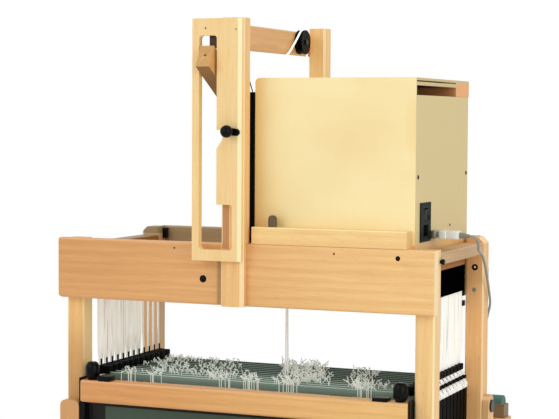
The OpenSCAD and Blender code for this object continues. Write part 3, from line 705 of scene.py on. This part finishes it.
shaft_count = 12
first_shaft = 90
shaft_pitch = 28
bar_half = 384
bar_depth = 2.4
upper_bar_height = 17.6
lower_bar_foot, lower_bar_top = -559.8, -545.2
# The first shafts' bunches of heddles lie apart from those of the shafts behind, each bunch a little
# further to the left from shaft to shaft: its middle, its spread, its number of strings, its height
near_bunches = ((-313, 9, 7, 15), (-247, 9, 7, 17), (-81, 14, 12, 22), (-8, 10, 13, 24), (90, 20, 17, 24),
                (262, 16, 17, 28))
far_bunches = ((-400, 20, 4, 9), (-366, 22, 5, 9), (-330, 24, 5, 9), (-290, 24, 5, 9), (-240, 22, 4, 9),
               (-196, 14, 4, 9), (-34, 15, 8, 24), (14, 14, 8, 26), (156, 16, 7, 11))
near_shafts = 2
bunch_step = 14.3
furthest_left, furthest_right = -368, 330
# On the left the first eight shafts' cords hang close together as a curtain, the last four one by one
curtain_shafts = 8
for k in range(shaft_count):
    y = first_shaft + k * shaft_pitch
    node = "shaft_%02d" % (k + 1)
    top = -323.8 - 0.3 * k
    bars = bmesh.new()
    for foot, head in ((top - upper_bar_height, top), (lower_bar_foot, lower_bar_top)):
        slab(bars, castle(-bar_half, y - bar_depth, foot), castle(bar_half, y + bar_depth, head), 0.0014, 3)
    blocks = bmesh.new()
    cords = []
    for side in (-1, 1):
        end_blocks(blocks, side, y)
        cords += lifting_cords(side, y, k < curtain_shafts or side > 0)
    strings = []
    bunches = near_bunches if k < near_shafts else far_bunches
    for middle, spread, count, height in bunches:
        if k < near_shafts:
            middle -= k * bunch_step
        else:
            middle += (shaft_count - 1 - k) * bunch_step + chance.gauss(0, 9)
            if not furthest_left <= middle <= furthest_right:
                continue
        for _ in range(count):
            strings += heddle(middle, spread, height, y, top)
    body = body_of[node]
    bar_piece = as_piece(bars, node + "_bars", bar_metal.material, body)
    block_piece = as_piece(blocks, node + "_end_blocks", block_black, body)
    cord_piece = strung(node + "_lifting_cords", cords, 0.0016, braid_white.material, body, 1)
    heddle_piece = strung(node + "_heddles", strings, 0.0011, string_white.material, body)
    for piece, slot in ((bar_piece, "light_metal"), (block_piece, "black_plastic"),
                        (cord_piece, "cord_white"), (heddle_piece, "cord_white")):
        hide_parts(node)

# Head posts, slotted plate and top bar: pale beech. The front post laps over the castle's front beam,
# the plate stands on its face, and the bar joins the two posts at the top.
head_beech = beech("beech_head_posts", 2, paint(244, 198, 134), shift=(0.6, 0.2, 0.7), edge_highlight=1.0)
# Painted shade: left of x -32 mm the post is coloured dark brown, and its front face is darker where it shows
# through the plate's window
inlay(head_beech, head_beech.axis(0) < -0.0321, paint(74, 46, 30), 0.5)
plate_window_shade = (head_beech.axis(2) > 1.240) * (head_beech.axis(2) < 1.420) * (head_beech.axis(0) < -0.012)
plate_window_shade = plate_window_shade * head_beech.axis(1, "Normal").between(-0.9, -0.6, 0.8, 0.0)
inlay(head_beech, plate_window_shade, paint(186, 128, 74), 0.4)
planed("dobby_post", head_beech.material, ease=0.0018)
rear_head_beech = beech("beech_rear_head_post", 2, paint(250, 204, 138), shift=(0.2, 0.5, 0.7), edge_highlight=0.8)
inlay(rear_head_beech, rear_head_beech.axis(0) < -0.0172, paint(150, 156, 150), 0.3, 0.85)
planed("dobby_rear_post", rear_head_beech.material, ease=0.0014)
plate_beech = beech("beech_slot_plate", 2, paint(254, 216, 154), shift=(0.1, 0.9, 0.3), figure=0.7,
                    edge_highlight=0.8)
planed("slot_plate", plate_beech.material, ease=0.0012)
bar_beech = beech("beech_top_bar", 1, paint(224, 176, 116), edge_highlight=0.2)
inlay(bar_beech, bar_beech.axis(0) > -0.0171, paint(12, 13, 13), 0.35)
planed("top_bar", bar_beech.material)

# Lever: a beech bar on a steel pin in the rear head post. It passes through the slot of the plate, and
# there is a cross-drilled hole in its end. Its underside is painted darker, as painted shade.
lever_beech = beech("beech_lever", 1, paint(216, 166, 99), tilt=(math.radians(30), 0, 0), edge_highlight=0.7)
underside_shade = lever_beech.axis(2, "Normal").between(-0.75, -0.55, 0.75, 0.0)
inlay(lever_beech, underside_shade, paint(112, 74, 42), 0.5)
planed("dobby_lever", lever_beech.material, ease=0.0016)

# Latch: a steel arm with a black cover, and a ball knob to turn it by. It is held on the slotted plate
# by one bolt.
planed("latch", black_plastic, ease=0.0006, suffix="_knob")

# Cord pulley: a black moulded wheel with a deep groove, and the white nylon cord that passes it, from
# the castle behind the box, over the wheel and down to the lever.
pulley_black = moulded("pulley_black", paint(2, 3, 3), 0.4, gloss=0.06)
planed("pulley", pulley_black, ease=0.0005, suffix="_wheel")
# The cord glows: painted light that keeps it white against the pale room
nylon_white = Finish("nylon_cord", Emission_Strength=0.5)
lay = nylon_white.noise(nylon_white.place((500, 500, 500)), 1.0, 2)
nylon_white.coloured(lay, paint(255, 255, 253), paint(240, 239, 234), 0.5, 0.2)
nylon_white.varies("Emission Color", nylon_white.mix(lay, paint(255, 255, 253), paint(232, 231, 226)))
nylon_white.relief(lay, 0.0002, 0.5)
off_wheel = castle(-7, 380, 487.5)
at_lever = castle(-44, 160, 333)
nylon_route = [castle(-7, 429.0, 4), castle(-7, 429.0, 200), castle(-7, 428.6, 460), castle(-7, 425.1, 482),
               castle(-7, 414.5, 492.6), castle(-7, 400, 496.5), castle(-7, 389, 494.4), off_wheel,
               castle(-6.6, 348, 463.5), castle(-6.5, 316, 441), castle(-18, 262, 404), castle(-31, 210, 368),
               at_lever]
pulley_cord = strung("pulley_cord", [nylon_route], 0.0024, nylon_white.material, None, 2)
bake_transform(pulley_cord)

# Return spring: a close-wound black spring upright beside the box, with the thin wire that runs from
# it up to the post.
spring_black = Finish("spring_black", Specular_IOR_Level=0.06)
coils = spring_black.bands("Z", 160)
spring_black.coloured(coils, paint(2, 2, 2), paint(9, 10, 9), 0.35, 0.15)
spring_black.relief(coils, 0.0006, 0.8)
planed("return_spring", spring_black.material, ease=0.0004, suffix="_coil")


# Box: birch plywood panels, varnished, with the cloudy figure of rotary-cut birch on the big faces. It
# stands behind a beech ledge, and the zinc-plated knife that lifts the shafts slides inside it.
def plywood(name, colour):
    """Birch plywood: faint long clouds, with warmer patches to one side of each sheet."""
    finish = Finish(name, Coat_Weight=0.10, Coat_Roughness=0.32, Specular_IOR_Level=0.35)
    sheet = finish.place((0.5, 0.5, 0.8), shift=(0.2, 0.4, 0.1))
    cloud = finish.noise(sheet, 9, 3, 0.5)
    flame = finish.node("ShaderNodeTexWave", {"wave_type": "BANDS", "bands_direction": "X"},
                        {"Vector": sheet, "Scale": 2.2, "Distortion": 6, "Detail": 3, "Detail Scale": 1.6,
                         "Detail Roughness": 0.5}, "Fac")
    hair = finish.noise(finish.place((500, 30, 24)), 1.0, 3, 0.6)
    tone = (cloud - 0.5) * 1.5 + (flame - 0.5) * 0.3 + (hair - 0.5) * 0.35 + 0.45
    face = finish.mix(tone.between(0, 1), shade(colour, 1.04), shade(colour, 0.95, 0.90, 0.80))
    golden = finish.noise(finish.place((6, 6, 3.2), shift=(0.5, 0.1, 0.6)), 1.0, 2).between(0.52, 0.66)
    east = finish.axis(0).between(0.20, 0.37)
    face = finish.mix(golden * east * 0.55, face, shade(colour, 0.97, 0.84, 0.60))
    west = finish.axis(0).between(0.024, 0.056, 0.9, 0.0)
    face = finish.mix(west, face, shade(colour, 1.0, 0.86, 0.60))
    # Painted shade: the faces turned to the right are coloured darker
    side = finish.axis(0, "Normal").between(0.6, 0.9)
    face = finish.mix(side, face, shade(colour, 0.72, 0.68, 0.56))
    finish.tone = face
    finish.dull = cloud * 0.15 + 0.36
    finish.varies("Base Color", finish.tone)
    finish.varies("Roughness", finish.dull)
    finish.relief(hair, 0.00008, 0.3)
    return finish


box_ply = plywood("birch_plywood", paint(255, 234, 177))
base_grain = box_ply.noise(box_ply.place((300, 8, 300)), 1.0, 4, 0.6)
base_wood = box_ply.mix(base_grain, paint(252, 208, 140), paint(222, 172, 104))
inlay(box_ply, (box_ply.axis(0) > 0.395) * (box_ply.axis(2) < 1.256), base_wood, 0.45)
# Painted shade: in the recess at the box's top, all but the front-facing faces are coloured dark brown
lid_recess_shade = (box_ply.axis(0) > 0.0) * (box_ply.axis(0) < 0.3992) * (box_ply.axis(2) > 1.575)
inlay(box_ply, lid_recess_shade * box_ply.axis(1, "Normal").between(-0.9, -0.6, 0.0, 1.0), paint(120, 78, 46), 0.6)
planed("box_shell", box_ply.material, ease=0.0008, suffix="_panels")
lid_ply = plywood("birch_plywood_lid", paint(244, 222, 168))
block_end = (lid_ply.axis(0) > 0.4012) * (lid_ply.axis(1) > 0.1472) * (lid_ply.axis(2) < 1.6155)
block_grain = lid_ply.noise(lid_ply.place((40, 40, 500)), 1.0, 3, 0.6)
inlay(lid_ply, block_end, lid_ply.mix(block_grain, paint(255, 190, 122), paint(226, 154, 88)), 0.5)
# Painted shade: the slot's walls are near black towards the front and brown further back
shaded_slot_wall = (lid_ply.axis(0) > 0.03) * (lid_ply.axis(0) < 0.3992)
shaded_slot_wall = shaded_slot_wall * (lid_ply.axis(2) < 1.6165) * (lid_ply.axis(1) < 0.2465)
slot_shade_depth = lid_ply.axis(1).between(0.02, 0.145)
inlay(lid_ply, shaded_slot_wall, lid_ply.mix(slot_shade_depth, paint(46, 24, 12), paint(206, 140, 84)), 0.6)
planed("box_lid", lid_ply.material, ease=0.0008, suffix="_boards")
ledge_beech = beech("beech_ledge", 0, paint(255, 212, 146), shift=(0.7, 0.1, 0.3), edge_highlight=0.9)
inlay(ledge_beech, ledge_beech.axis(2) > 1.2893, paint(98, 80, 58), 0.5)
planed("ledge", ledge_beech.material)
planed("knife", zinc.material, ease=0.0008, suffix="_bar")

# Power inlet and rocker switch in the box's side, moulded in black. They lie nearly flush, so what
# stands out of the side is pressed back to a quarter of its height.
inlet_black = moulded("inlet_black", paint(14, 22, 19), 0.45, gloss=0.06)
switch_black = moulded("switch_black", paint(9, 13, 12), 0.4, gloss=0.08)
outer_face = box_side / 1000
proud = 0.25
for piece in (planed("power_module", inlet_black, ease=0.0007, suffix="_moulding"),
              planed("rocker_switch", switch_black, ease=0.0006, suffix="_rocker")):
    for vert in piece.data.vertices:
        if vert.co.x > outer_face:
            vert.co.x = outer_face + (vert.co.x - outer_face) * proud

# Beater: steel arms on pins near the floor, a beech rail with two black knobs and a black clip near
# each end, and the reed, a frame of fine dark wires.
arm_black = moulded("painted_black", paint(9, 10, 10), 0.4, gloss=0.15)
planed("beater_frame", arm_black, ease=0.0006, suffix="_arms")
sley_beech = beech("beech_beater_rail", 0, paint(224, 162, 102), figure=1.2, shift=(0.2, 0.6, 0.9),
                   edge_highlight=0.8, far=paint(242, 199, 130))
planed("beater_rail", sley_beech.material, ease=0.0022, segments=3)
reed_wires = Finish("reed_wires", Metallic=0.3)
wires = reed_wires.bands("X", 130)
bound = reed_wires.axis(2).between(0.8560, 0.8566)
bound = bound.math("MAXIMUM", bound, abs(reed_wires.axis(0)).between(0.346, 0.348))
wire_colour = reed_wires.mix(wires, paint(20, 30, 24), paint(96, 124, 106))
reed_wires.varies("Base Color", reed_wires.mix(bound, wire_colour, paint(12, 14, 13)))
reed_wires.varies("Roughness", wires * 0.2 + 0.35)
reed_wires.relief(wires * (1 - bound), 0.0004, 0.5)
planed("reed", reed_wires.material, ease=0.0003, suffix="_frame")
clips = bmesh.new()
slab(clips, castle(-358, 3, -333.4), castle(-327, 32, -321), 0.0008)
slab(clips, castle(320, 3, -333.4), castle(354, 32, -325.5), 0.0008)
as_piece(clips, "beater_rail_clips", black_plastic, "beater")
knob_black = moulded("knob_black", paint(3, 4, 4), 0.24, gloss=0.14)
for node in ("beater_knob_left", "beater_knob_right"):
    planed(node, knob_black, ease=0.0012, suffix="_cap")

# Stand: beech feet, legs and arms bolted together, with the treadle between them. The turned rollers
# have steel ends, and steel plates and black caps cover the bolts.
plate_steel = paint(96, 100, 94)
cap_black = paint(14, 15, 15)
stand_beech = beech("beech_legs", 2, paint(234, 188, 130), shift=(0.3, 0.8, 0.1), edge_highlight=0.8)
inlay(stand_beech, (stand_beech.axis(0) < 0.0) * 0.3, paint(184, 122, 66), 0.4)
inlay(stand_beech, (stand_beech.axis(0) > 0.4565) * (stand_beech.axis(2) < 0.690), plate_steel, 0.35, 0.8)
inlay(stand_beech, abs(stand_beech.axis(0)) > 0.4686, cap_black, 0.35)
for node in ("front_arm_left", "front_arm_right", "rear_arm_right"):
    planed(node, stand_beech.material)
pin_beech = beech("beech_pawl_leg", 2, paint(234, 188, 130), shift=(0.3, 0.8, 0.1), edge_highlight=0.8)
inlay(pin_beech, (pin_beech.axis(0) < -0.4535) * (pin_beech.axis(2) < 0.690), plate_steel, 0.35, 0.8)
inlay(pin_beech, (pin_beech.axis(0) < -0.4686) * (pin_beech.axis(2) > 0.800), cap_black, 0.35)
planed("rear_arm_left", pin_beech.material)
foot_beech = beech("beech_feet", 1, paint(230, 182, 124), shift=(0.8, 0.3, 0.5), edge_highlight=0.8)
inlay(foot_beech, abs(foot_beech.axis(0)) < 0.4078, plate_steel, 0.35, 0.8)
cross_beech = beech("beech_cross", 0, paint(234, 188, 130), shift=(0.5, 0.9, 0.2))
rod_place = (abs(cross_beech.axis(0) - 0.018) < 0.0555) * (abs(cross_beech.axis(1) - 0.230) < 0.0065)
inlay(cross_beech, rod_place * (cross_beech.axis(2) < 0.09), paint(120, 124, 116), 0.3, 0.85)
roller_beech = beech("beech_rollers", 0, paint(238, 194, 138), shift=(0.7, 0.3, 0.4), edge_highlight=0.0)
inlay(roller_beech, abs(roller_beech.axis(0)) > 0.4556, paint(84, 88, 84), 0.38, 0.8)
treadle_beech = beech("beech_treadle", 1, paint(230, 182, 124), tilt=(math.radians(16), 0, 0), edge_highlight=0.8)
for node, wood in (("foot_left", foot_beech), ("foot_right", foot_beech), ("stretchers", cross_beech),
                   ("breast_beam", cross_beech), ("cloth_beam", roller_beech), ("warp_beam", roller_beech),
                   ("treadle", treadle_beech)):
    planed(node, wood.material)

# Back beam: a beech board across the rear arms of the stand. Its upper half is covered with teal
# cloth, and the beech below it is painted dark brown, as painted shade.
teal = Finish("teal_over_beech", Coat_Weight=0.05)
covered = teal.axis(2).between(0.8185, 0.8195)
teal_weave = teal.noise(teal.place((60, 500, 500)), 1.0, 3)
teal_cloth = teal.mix(teal_weave, paint(60, 124, 106), paint(58, 98, 86))
teal.varies("Base Color", teal.mix(covered, paint(134, 110, 72), teal_cloth))
teal.varies("Roughness", teal_weave * 0.2 + 0.45)
planed("back_beam", teal.material)

# Catches: a dark steel pawl for each roller, on a pin in the stand. It drops into the roller's toothed
# wheel and holds it.
for node in ("cloth_pawl", "warp_pawl"):
    planed(node, dark_steel.material, ease=0.0005, suffix="_catch")

# Treadle cords: two braided cords that run side by side out of the box, part slowly on the way down,
# pass through the treadle and are knotted round a turned toggle under it.
cord_middle = 20.1
knot_height = -1146
spread_down = ((1.2, 180), (1.3, -100), (1.6, -172), (2.6, -290), (4.2, -500), (6.4, -820), (8, -1100),
               (8, knot_height))
lines = [[castle(cord_middle + side * x, 244, z) for x, z in spread_down] for side in (-1, 1)]
treadle_lines = strung("treadle_cord_lines", lines, 0.0020, braid_white.material, "pull_cord", 2)
toggle = bmesh.new()
turned(toggle, [(0, 0), (0.0030, 0), (0.0039, 0.002), (0.0034, 0.012), (0.0030, 0.022), (0.0034, 0.032),
                (0.0039, 0.042), (0.0030, 0.044), (0, 0.044)],
       castle(-1.9, 244, knot_height - 1), to_right, 24)
for side in (-1, 1):
    turned(toggle, [(0, 0), (0.0022, 0.0004), (0.0032, 0.0022), (0.0022, 0.0042), (0, 0.0046)],
           castle(cord_middle + side * 8, 244, knot_height), (0, 0, 1), 16)
toggle_piece = as_piece(toggle, "treadle_toggle", braid_white.material, "pull_cord")
for piece in (treadle_lines, toggle_piece):
    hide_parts("treadle_cord")

# Pale floor and soft studio light: one large lamp in front to the left, a weaker one to the right
# and one overhead, in a plain light room.
floor_finish = Finish("studio_floor", Roughness=0.9, Specular_IOR_Level=0.1)
mottle = floor_finish.noise(floor_finish.place(), 2, 2) * 0.1
floor_finish.varies("Base Color", floor_finish.mix(mottle, [0.86, 0.86, 0.86, 1], [0.84, 0.84, 0.84, 1]))
straight = floor_finish.node("ShaderNodeLightPath", {}, {}, "Is Camera Ray")
mirrored = floor_finish.node("ShaderNodeLightPath", {}, {}, "Is Glossy Ray")
distance = floor_finish.node("ShaderNodeVectorMath", {"operation": "LENGTH"},
                             {0: floor_finish.place()}, "Value")
fade = straight.math("MAXIMUM", straight, mirrored) * distance.between(1.2, 3.2)
glow = floor_finish.node("ShaderNodeEmission", {}, {"Color": (1, 1, 1, 1), "Strength": 1.0})
pale_floor = Socket(floor_finish, floor_finish.shader.outputs[0])
blended = floor_finish.node("ShaderNodeMixShader", {}, {0: fade, 1: pale_floor, 2: glow})
floor_finish.feed(floor_finish.tree.nodes["Material Output"].inputs["Surface"], blended)
floor_mesh = bmesh.new()
bmesh.ops.create_circle(floor_mesh, cap_ends=True, segments=96, radius=3.6)
floor_data = bpy.data.meshes.new("studio_floor")
floor_mesh.to_mesh(floor_data)
floor_mesh.free()
floor_data.materials.append(floor_finish.material)
floor = bpy.data.objects.new("studio_floor", floor_data)
scene.collection.objects.link(floor)

lit_point = Vector((0, 0, 1.1))
for name, place, size, power, warmth in (("key_light", (-2.2, -4.8, 3.4), 2.2, 36, (1.0, 0.98, 0.95)),
                                         ("fill_light", (3.8, -2.4, 2.2), 2.4, 34, (0.97, 0.99, 1.0)),
                                         ("top_light", (0.2, 0.6, 4.6), 2.6, 14, (1.0, 1.0, 1.0))):
    lamp = bpy.data.objects.new(name, bpy.data.lights.new(name, "AREA"))
    lamp.data.shape = "SQUARE"
    lamp.data.size = size
    lamp.data.energy = power
    lamp.data.color = warmth
    lamp.location = place
    lamp.rotation_euler = (lit_point - Vector(place)).to_track_quat("-Z", "Y").to_euler()
    scene.collection.objects.link(lamp)
world = bpy.data.worlds.new("studio")
world.use_nodes = True
scene.world = world
studio = Nodes(world.node_tree)
room = studio.tree.nodes["Background"]
room.inputs["Color"].default_value = (1, 1, 1, 1)
room.inputs["Strength"].default_value = 0.78
white = studio.node("ShaderNodeBackground", {}, {"Color": (1, 1, 1, 1), "Strength": 1.0})
straight = studio.node("ShaderNodeLightPath", {}, {}, "Is Camera Ray")
through = studio.node("ShaderNodeLightPath", {}, {}, "Is Transmission Ray")
seen = straight.math("MAXIMUM", straight, through)
shown = studio.node("ShaderNodeMixShader", {}, {0: seen, 1: Socket(studio, room.outputs[0]), 2: white})
studio.feed(studio.tree.nodes["World Output"].inputs["Surface"], shown)
